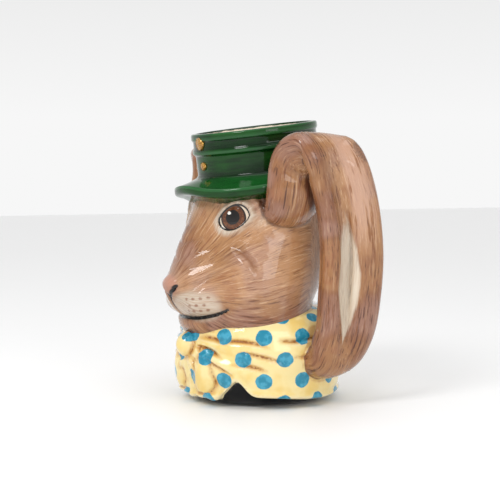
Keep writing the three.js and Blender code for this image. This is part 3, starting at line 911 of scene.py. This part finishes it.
def paint(obj):
    """Stores on each vertex the distances and shares that the glazes are mixed by."""
    count = len(obj.data.vertices)
    flat = np.empty(count * 3)
    obj.data.vertices.foreach_get("co", flat)
    points = flat.reshape(-1, 3) / MM
    obj.data.vertices.foreach_get("normal", flat)
    normals = flat.reshape(-1, 3)
    p = points.T
    head, cloth, coat = head_field(p), cloth_field(p), coat_field(p)
    near, far = ear_field(p, "near"), ear_field(p, "far")
    mirrored = points * (-1, 1, 1)
    ears = []
    inner = np.full(count, -9.0)
    flap = np.zeros(count)
    for which, distance, where, offset in (("near", near, points, 0), ("far", far, mirrored, 9)):
        place = nearest_run(where, which)
        length, across, out, (w, t, opened) = place
        on_ear = smoothstep(-0.6, 0.6, head - distance)
        ears.append((place, on_ear, offset))
        half = (0.2 + 0.14 * smoothstep(FOLD_LENGTH + 30, FOLD_LENGTH + 70, length)) * w
        groove = half - np.abs(across + 0.17 * w)
        groove = np.where(out > -0.5 * t, groove + 9 * (opened - 1), -9)
        groove = np.minimum(groove, (length - FOLD_LENGTH - 30) * 0.12)
        below = np.where(out < -0.3 * t, 0.7 * w - np.abs(across), -9)
        below = np.minimum(below, (FOLD_LENGTH + 46 - length) * 0.07)
        groove = np.maximum(groove, np.minimum(below, (length - FOLD_LENGTH) * 0.12))
        inner = np.where((distance < head) & (distance < cloth - 0.3), groove, inner)
        broad = plateau(-0.05 * w, 0.15 * w, 0.55 * w, 0.95 * w, across)
        run = plateau(FOLD_LENGTH - 22, FOLD_LENGTH - 6, FOLD_LENGTH + 22, FOLD_LENGTH + 52, length)
        flap = np.maximum(flap, broad * run * on_ear * (out > 0))
    skin = np.minimum(head, np.minimum(near, far))
    thin_glaze_and_highlight, pooled_glaze_and_shade, above_edge = cap_edges(p)
    past, depth = cheek_fold(p)
    back, up, out = eye_place(p)
    facing = out > 1
    values = {
        "cloth": np.minimum(skin, coat) - cloth,
        "coat": np.minimum(skin, cloth) - coat,
        "inner": inner,
        "flap": flap,
        "lid": np.where(facing, lid_opening(p), 9),
        "iris": np.where(facing, np.hypot(back + 0.3, up - 0.3), 99),
        "glint": np.where(facing, np.hypot(back + 2.3, (up - 2.6) * 1.2), 99),
        "mouth": np.minimum(mouth_distance(p), 20),
        "dots": dot_distance(p),
        "crease": np.minimum(crease_distance(p), seam_distance(p) + 0.25),
        "whiskers": whisker_distance(p),
        "hem": p[2] - hem(p),
        "hollow": np.clip(1 - organic_field((points + normals * 3).T) / 3, -1, 1),
        "shade": fur_shade(p, ears),
        "pad": -ellipsoid(near_side(p), (10, -34, 55), (15, 24, 10.5)),
        "nose": -ellipsoid(p, (0, -56, 64.5), (7.5, 7, 5.5)),
        "fold": np.abs(past) + 4 * (1 - depth),
        "above_edge": above_edge,
        "temple": -ellipsoid(near_side(p), (25.5, -17, 99), (9, 9, 6)),
        "thin_glaze_and_highlight": np.minimum(thin_glaze_and_highlight, 9),
        "pooled_glaze_and_shade": np.minimum(pooled_glaze_and_shade, 9),
        "flow": flow(p, ears),
        "cap_place": np.stack(into_cap(p), -1),
    }
    for name, numbers in values.items():
        kind, slot = ("FLOAT_VECTOR", "vector") if numbers.ndim == 2 else ("FLOAT", "value")
        layer = obj.data.attributes.new(name, kind, "POINT")
        layer.data.foreach_set(slot, np.ascontiguousarray(numbers, dtype=np.float32).ravel())


def glaze_coat(obj):
    """Gives the coat's faces a dark glaze of their own, and the foot's underside the glaze of the inside."""
    mesh = obj.data
    coat = np.empty(len(mesh.vertices), np.float32)
    mesh.attributes["coat"].data.foreach_get("value", coat)
    mesh.materials.append(coat_glaze())
    last = len(mesh.materials) - 1
    inside = mesh.materials.find("inside_glaze")
    for face in mesh.polygons:
        if face.material_index == 0 and min(coat[i] for i in face.vertices) > 0.05:
            underneath = face.normal.z < -0.9 and face.center.z < 0.2 * MM
            face.material_index = inside if underneath else last


def tone(*rgb):
    """A colour given as it looks on screen, out of 255."""
    shares = [c / 255 for c in rgb]
    return (*(s / 12.92 if s <= 0.04045 else ((s + 0.055) / 1.055) ** 2.4 for s in shares), 1)


class Glaze:
    """A material under construction, with short ways to add its nodes."""

    def __init__(self, name, roughness=0.1, coat=COAT_WEIGHT):
        self.material = bpy.data.materials.new(name)
        self.material.use_nodes = True
        self.tree = self.material.node_tree
        self.shader = self.tree.nodes["Principled BSDF"]
        self.shader.inputs["Roughness"].default_value = roughness
        self.shader.inputs["IOR"].default_value = GLAZE_IOR
        self.shader.inputs["Coat Weight"].default_value = coat
        self.shader.inputs["Coat Roughness"].default_value = COAT_ROUGHNESS

    def put(self, socket, value):
        if hasattr(value, "node"):
            self.tree.links.new(value, socket)
        else:
            socket.default_value = value

    def node(self, kind, settings=None, inputs=None):
        made = self.tree.nodes.new(kind)
        for key, value in (settings or {}).items():
            setattr(made, key, value)
        for key, value in (inputs or {}).items():
            self.put(made.inputs[key], value)
        return made

    def math(self, operation, a, b):
        return self.node("ShaderNodeMath", {"operation": operation}, {0: a, 1: b}).outputs[0]

    def times(self, a, b):
        return self.math("MULTIPLY", a, b)

    def plus(self, a, b):
        return self.math("ADD", a, b)

    def less(self, a, b):
        return self.math("SUBTRACT", a, b)

    def swing(self, noise, strength):
        """A noise brought to swing both ways about 0."""
        return self.times(self.less(noise, 0.5), strength)

    def attribute(self, name, output="Fac"):
        return self.node("ShaderNodeAttribute", {"attribute_name": name}).outputs[output]

    def step(self, value, low, high):
        """Smooth share of the way from low to high."""
        inputs = {"Value": value, "From Min": low, "From Max": high}
        return self.node("ShaderNodeMapRange", {"interpolation_type": "SMOOTHSTEP"}, inputs).outputs["Result"]

    def fall(self, value, low, high):
        """Smooth share that is left of the way from low to high."""
        return self.less(1.0, self.step(value, low, high))

    def mix(self, share, a, b):
        inputs = {"Factor": share, "A": a, "B": b}
        return self.node("ShaderNodeMix", {"data_type": "RGBA"}, inputs).outputs["Result"]

    def over(self, color, tint, share, strength=None):
        """A colour with a tint laid over it, as far as its share and strength."""
        if strength is not None:
            share = self.times(share, strength)
        return self.mix(share, color, tint)

    def noise(self, vector, scale, detail, rough=0.55):
        inputs = {"Vector": vector, "Scale": scale, "Detail": detail, "Roughness": rough}
        return self.node("ShaderNodeTexNoise", {}, inputs).outputs["Fac"]

    def stretched(self, vector, x, y, z):
        inputs = {0: vector, 1: (x, y, z)}
        return self.node("ShaderNodeVectorMath", {"operation": "MULTIPLY"}, inputs).outputs[0]

    def place(self):
        """Position in millimetres."""
        return self.stretched(self.node("ShaderNodeTexCoord").outputs["Object"], 1000, 1000, 1000)

    def up(self, vector):
        return self.node("ShaderNodeSeparateXYZ", {}, {"Vector": vector}).outputs["Z"]

    def finish(self, color, height=None, depth=0.0):
        self.put(self.shader.inputs["Base Color"], color)
        if height is not None:
            relief = {"Strength": 1.0, "Distance": depth * MM, "Height": height}
            bump = self.node("ShaderNodeBump", {}, relief)
            self.tree.links.new(bump.outputs["Normal"], self.shader.inputs["Normal"])
        return self.material


FUR_LIGHT = tone(188, 143, 107)
FUR = tone(160, 115, 78)
FUR_WARM = tone(178, 130, 84)
FUR_MAUVE = tone(172, 136, 124)
FUR_RED = tone(150, 92, 62)
FUR_PALE = tone(220, 184, 150)
FUR_DEEP = tone(128, 79, 50)
FUR_DARK = tone(80, 44, 32)
CREAM = tone(204, 190, 172)
CREAM_LIT = tone(236, 224, 202)
CREAM_SHADE = tone(184, 148, 120)
PINK_AND_SHEEN = tone(198, 158, 136)
NOSE = tone(196, 142, 120)
WHISKER = tone(136, 88, 62)
YELLOW = tone(238, 218, 156)
YELLOW_WARM = tone(232, 200, 116)
YELLOW_PALE = tone(244, 230, 188)
OCHRE = tone(196, 136, 66)
UMBER = tone(138, 78, 40)
BLUE = tone(30, 130, 158)
BLUE_PALE = tone(66, 158, 186)
NAVY = tone(4, 5, 10)
INK = tone(16, 10, 9)
IRIS_BROWN = tone(84, 44, 20)
IRIS_LIGHT = tone(122, 72, 34)
EYE_WHITE = tone(214, 196, 174)
GLINT = tone(240, 236, 228)
GREEN = tone(6, 46, 10)
GREEN_LIGHT = tone(20, 72, 20)
GREEN_BRIM_LIT = tone(24, 84, 34)
GREEN_DEEP = tone(3, 28, 7)
GREEN_WORN_AND_HIGHLIT = tone(64, 118, 74)
GILT = tone(190, 142, 60)
GILT_WORN = tone(146, 98, 40)
INSIDE = tone(228, 214, 192)
INSIDE_SHADE = tone(214, 194, 168)


def fur_color(g, place):
    """Brown fur: airbrushed light and dark with some painted shade, under combed strokes, and painted shade
    in its hollows.
    """
    combed = g.attribute("flow", "Vector")
    locks = g.noise(g.stretched(combed, 4, 4, 0.9), 1.0, 3, 0.6)
    fine = g.noise(g.stretched(combed, 9, 9, 1.3), 1.0, 3, 0.65)
    shade = g.attribute("shade")
    soft = g.noise(place, 0.035, 2)
    color = g.mix(g.step(g.plus(shade, g.swing(g.noise(combed, 1.1, 2), 0.7)), 0.0, 0.5), FUR_LIGHT, FUR)
    color = g.over(color, FUR_DEEP, g.step(g.plus(shade, g.swing(locks, 1.3)), 0.35, 1.0), 0.85)
    color = g.over(color, FUR_WARM, g.step(soft, 0.42, 0.62), 0.5)
    color = g.over(color, FUR_MAUVE, g.fall(soft, 0.36, 0.5), 0.4)
    color = g.over(color, FUR_RED, g.step(g.noise(place, 0.07, 3), 0.54, 0.7), 0.4)
    color = g.over(color, FUR_DEEP, g.step(locks, 0.55, 0.66), g.plus(0.44, g.times(shade, 0.45)))
    color = g.over(color, FUR_DARK, g.step(fine, 0.57, 0.66), g.plus(0.44, g.times(shade, 0.5)))
    color = g.over(color, FUR_PALE, g.fall(fine, 0.34, 0.44), g.less(0.62, g.times(shade, 0.42)))
    # Painted shade in the hollows of the fur.
    color = g.over(color, FUR_DARK, g.step(g.attribute("hollow"), 0.15, 0.75), 0.75)
    return color, locks, fine


def face_color(g, fur, locks, fine):
    """Cream places, painted light in each ear's groove, pink flaps that are partly a painted sheen, cheek
    folds, nose, whisker marks and mouth, laid over the fur.
    """
    ragged = g.swing(fine, 4.0)
    pad = g.step(g.plus(g.attribute("pad"), ragged), -1.5, 2.0)
    ring = g.fall(g.plus(g.attribute("lid"), g.times(ragged, 0.7)), 1.2, 4.0)
    inner = g.step(g.plus(g.attribute("inner"), ragged), -0.6, 1.2)
    temple = g.times(g.step(g.plus(g.attribute("temple"), ragged), -3.0, 3.0), 0.6)
    light = g.math("MAXIMUM", g.math("MAXIMUM", pad, temple), g.math("MAXIMUM", ring, inner))
    light = g.times(light, g.less(0.9, g.times(g.step(locks, 0.5, 0.64), 0.4)))
    # Pink on each ear's flap, partly a painted sheen.
    color = g.over(fur, PINK_AND_SHEEN, g.times(g.attribute("flap"), 0.75), g.fall(locks, 0.5, 0.68))
    color = g.over(color, g.mix(g.step(fine, 0.42, 0.75), CREAM, CREAM_SHADE), light)
    # Painted light in each ear's groove, against the groove's own shadow.
    color = g.over(color, CREAM_LIT, inner, 0.4)
    fold = g.plus(g.attribute("fold"), g.times(ragged, 0.3))
    color = g.over(color, FUR_DEEP, g.fall(fold, 0.2, 3.0), 0.5)
    color = g.over(color, NOSE, g.step(g.attribute("nose"), -1.5, 1.5), 0.75)
    color = g.over(color, WHISKER, g.fall(g.attribute("whiskers"), -0.25, 0.35), 0.75)
    return g.over(color, INK, g.fall(g.attribute("mouth"), 0.65, 1.15))


def eye_color(g, face, place):
    """The eye between its lids, with a dark line along them, over the face."""
    lid = g.attribute("lid")
    iris = g.attribute("iris")
    eye = g.mix(g.step(iris, 6.9, 7.2), IRIS_BROWN, EYE_WHITE)
    eye = g.over(eye, IRIS_LIGHT, g.fall(iris, 5.6, 6.4), g.step(g.noise(place, 0.9, 2), 0.4, 0.7))
    eye = g.over(eye, INK, g.step(iris, 6.0, 6.6), g.fall(iris, 6.9, 7.2))
    eye = g.over(eye, INK, g.fall(iris, 3.7, 4.1))
    eye = g.over(eye, GLINT, g.fall(g.attribute("glint"), 1.0, 1.35))
    color = g.over(face, eye, g.fall(lid, -0.15, 0.05))
    return g.over(color, INK, g.step(lid, -0.55, -0.3), g.fall(lid, 0.25, 0.55))


def cloth_color(g, place):
    """Yellow cloth with painted shade in its hollows and a painted highlight on its bulges, darker along its
    creases and paler along its hem, with blue dots.
    """
    hollow = g.attribute("hollow")
    cloth = g.mix(g.step(g.noise(place, 0.06, 3), 0.42, 0.68), YELLOW, YELLOW_WARM)
    # A painted highlight on the cloth's bulges and painted shade in its hollows.
    cloth = g.over(cloth, YELLOW_PALE, g.step(g.times(hollow, -1.0), 0.0, 0.3), 0.5)
    cloth = g.over(cloth, OCHRE, g.step(hollow, 0.1, 0.5), 0.6)
    inked = g.plus(g.attribute("crease"), g.swing(g.noise(place, 0.5, 2), 1.2))
    cloth = g.over(cloth, OCHRE, g.fall(inked, 0.5, 2.6), 0.45)
    cloth = g.over(cloth, UMBER, g.fall(inked, 0.1, 0.9), 0.85)
    cloth = g.over(cloth, YELLOW_PALE, g.fall(g.attribute("hem"), 0.6, 2.4), 0.7)
    dots = g.plus(g.attribute("dots"), g.swing(g.noise(place, 0.35, 2), 1.1))
    blue = g.mix(g.step(g.noise(place, 0.3, 2), 0.4, 0.65), BLUE, BLUE_PALE)
    return g.over(cloth, blue, g.fall(dots, -0.15, 0.25))


def painted_glaze():
    g = Glaze("painted_glaze")
    place = g.place()
    fur, locks, fine = fur_color(g, place)
    color = eye_color(g, face_color(g, fur, locks, fine), place)
    cloth, coat = g.attribute("cloth"), g.attribute("coat")
    color = g.over(color, cloth_color(g, place), g.step(cloth, -0.1, 0.1))
    color = g.over(color, NAVY, g.step(coat, -0.1, 0.1))
    not_fur = g.math("MAXIMUM", g.step(cloth, -0.3, 0.3), g.step(coat, -0.3, 0.3))
    not_fur = g.math("MAXIMUM", not_fur, g.fall(g.attribute("lid"), 0.2, 1.2))
    height = g.times(g.plus(g.times(locks, 1.1), g.times(fine, 0.7)), g.less(1.0, not_fur))
    return g.finish(color, g.plus(height, g.times(g.noise(place, 0.1, 2), 0.8)), 0.5)


def coat_glaze():
    return Glaze("coat_glaze", coat=DARK_COAT_WEIGHT).finish(NAVY)


def cap_glaze():
    g = Glaze("cap_glaze", coat=CAP_COAT_WEIGHT)
    place = g.attribute("cap_place", "Vector")
    streaks = g.noise(g.stretched(place, 0.04, 0.04, 0.3), 1.3, 3, 0.5)
    color = g.mix(g.step(streaks, 0.35, 0.7), GREEN, GREEN_LIGHT)
    color = g.over(color, GREEN_DEEP, g.step(g.noise(place, 0.05, 2), 0.45, 0.7), 0.5)
    # Painted light: the upper face of the brim made lighter green, as lit from above.
    brim = g.fall(g.up(place), BAND_BASE - 1.5, BAND_BASE + 0.5)
    brim = g.times(brim, g.step(g.attribute("above_edge"), -1.3, -0.3))
    color = g.over(color, GREEN_BRIM_LIT, brim, g.plus(0.3, g.times(streaks, 0.8)))
    # Lighter green on the cap's edges, where the glaze runs thin, and a painted highlight there too.
    color = g.over(color, GREEN_WORN_AND_HIGHLIT, g.fall(g.attribute("thin_glaze_and_highlight"), 0.2, 1.2), 0.35)
    # Deeper green in the cap's grooves, where the glaze gathers, and painted shade there too.
    color = g.over(color, GREEN_DEEP, g.fall(g.attribute("pooled_glaze_and_shade"), 0.3, 1.6), 0.7)
    return g.finish(color, g.plus(g.times(streaks, 0.5), g.noise(place, 0.1, 2)), 0.25)


def gilt_glaze():
    g = Glaze("gilt_glaze", 0.22)
    g.shader.inputs["Metallic"].default_value = 0.55
    worn = g.step(g.noise(g.place(), 0.9, 3), 0.42, 0.6)
    return g.finish(g.mix(worn, GILT, GILT_WORN))


def inside_glaze():
    """Cream inside, with the cap's green running a little way over the lip."""
    g = Glaze("inside_glaze", 0.2)
    place = g.place()
    color = g.mix(g.step(g.noise(place, 0.04, 3), 0.4, 0.7), INSIDE, INSIDE_SHADE)
    up = g.plus(g.up(g.attribute("cap_place", "Vector")), g.times(g.noise(place, 0.2, 2), 1.2))
    return g.finish(g.mix(g.step(up, RIM_TOP - 0.7, RIM_TOP - 0.2), color, GREEN))


def sculpted_body():
    """The head, ears, cloth and coat as one fine mesh, inside the solid's own box."""
    grid = near_surface(organic_field, GRID_LOW, GRID_HIGH, FINE)
    points, quads = surface_nets(grid, GRID_LOW, FINE)
    points = settle(organic_field, points)
    points = np.clip(points, np.array(cad_box[0]) / MM, np.array(cad_box[1]) / MM)
    return mesh_object("jug_glazed", points, quads)


def make_jug():
    """The whole casting: body, cap and buttons joined, the hollow cut out, and all of it glazed."""
    jug = sculpted_body()
    cap = mesh_object("cap", *lathe(cap_rows(full_turn(CAP_SEGMENTS)), CAP_SEGMENTS, out_of_cap))
    hollow = mesh_object("hollow", *cavity_mesh())
    jug.data.materials.append(painted_glaze())
    cap.data.materials.append(cap_glaze())
    hollow.data.materials.append(inside_glaze())
    gilt = gilt_glaze()
    for numbers in BUTTONS:
        made = button(*numbers)
        made.data.materials.append(gilt)
        combine(cap, made, "UNION")
    combine(jug, cap, "UNION")
    combine(jug, hollow, "DIFFERENCE")
    paint(jug)
    glaze_coat(jug)
    jug.data.set_sharp_from_angle(angle=SHARP_ANGLE * DEGREE)
    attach(jug, "root")
    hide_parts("jug")


def make_camera():
    a = CAMERA_AZIMUTH * DEGREE
    right = Vector((math.cos(a), math.sin(a), 0))
    back = Vector((math.sin(a), -math.cos(a), 0))
    aim = right * AIM[0] + Vector((0, 0, AIM[1]))
    place = right * AIM[0] + back * CAMERA_DISTANCE + Vector((0, 0, CAMERA_HEIGHT))
    data = bpy.data.cameras.new("camera")
    data.sensor_width = SENSOR
    data.lens = SENSOR * CAMERA_DISTANCE / PICTURE_WIDTH
    camera = add_object("camera", data)
    camera.location = place * MM
    camera.rotation_mode = "QUATERNION"
    camera.rotation_quaternion = (aim - place).to_track_quat("-Z", "Y")
    data.clip_start, data.clip_end = 0.01, 50
    bpy.context.scene.camera = camera


def make_studio():
    world = bpy.data.worlds.new("studio")
    world.use_nodes = True
    tree = world.node_tree
    height = tree.nodes.new("ShaderNodeSeparateXYZ")
    tree.links.new(tree.nodes.new("ShaderNodeTexCoord").outputs["Generated"], height.inputs[0])
    dim = tree.nodes.new("ShaderNodeMapRange")
    for name, value in (("From Min", 0.05), ("From Max", 0.7), ("To Min", 0.93), ("To Max", 0.4)):
        dim.inputs[name].default_value = value
    tree.links.new(height.outputs["Z"], dim.inputs["Value"])
    tree.links.new(dim.outputs["Result"], tree.nodes["Background"].inputs["Strength"])
    tree.nodes["Background"].inputs["Color"].default_value = (1, 1, 1, 1)
    bpy.context.scene.world = world
    for name, place, size, power in (
        ("key", (0.35, -0.75, 0.75), 0.34, 4.5),
        ("side", (0.95, 0.0, 0.35), 0.38, 1.5),
    ):
        data = bpy.data.lights.new(name, "AREA")
        data.size = size
        data.energy = power
        light = add_object(name, data)
        light.location = place
        light.rotation_mode = "QUATERNION"
        light.rotation_quaternion = (Vector((0, 0, 0.08)) - light.location).to_track_quat("-Z", "Y")
    data = bpy.data.lights.new("overhead", "SUN")
    data.energy = 1.25
    data.angle = 70 * DEGREE
    add_object("overhead", data)
    corners = np.array(((-1, -1, 0), (1, -1, 0), (1, 1, 0), (-1, 1, 0)), float)
    floor = mesh_object("floor", corners * FLOOR_REACH, [[0, 1, 2, 3]])
    pale = bpy.data.materials.new("pale")
    pale.use_nodes = True
    pale.node_tree.nodes["Principled BSDF"].inputs["Base Color"].default_value = (0.95, 0.95, 0.95, 1)
    floor.data.materials.append(pale)
    bpy.context.scene.view_settings.view_transform = "Standard"


make_jug()
make_camera()
make_studio()
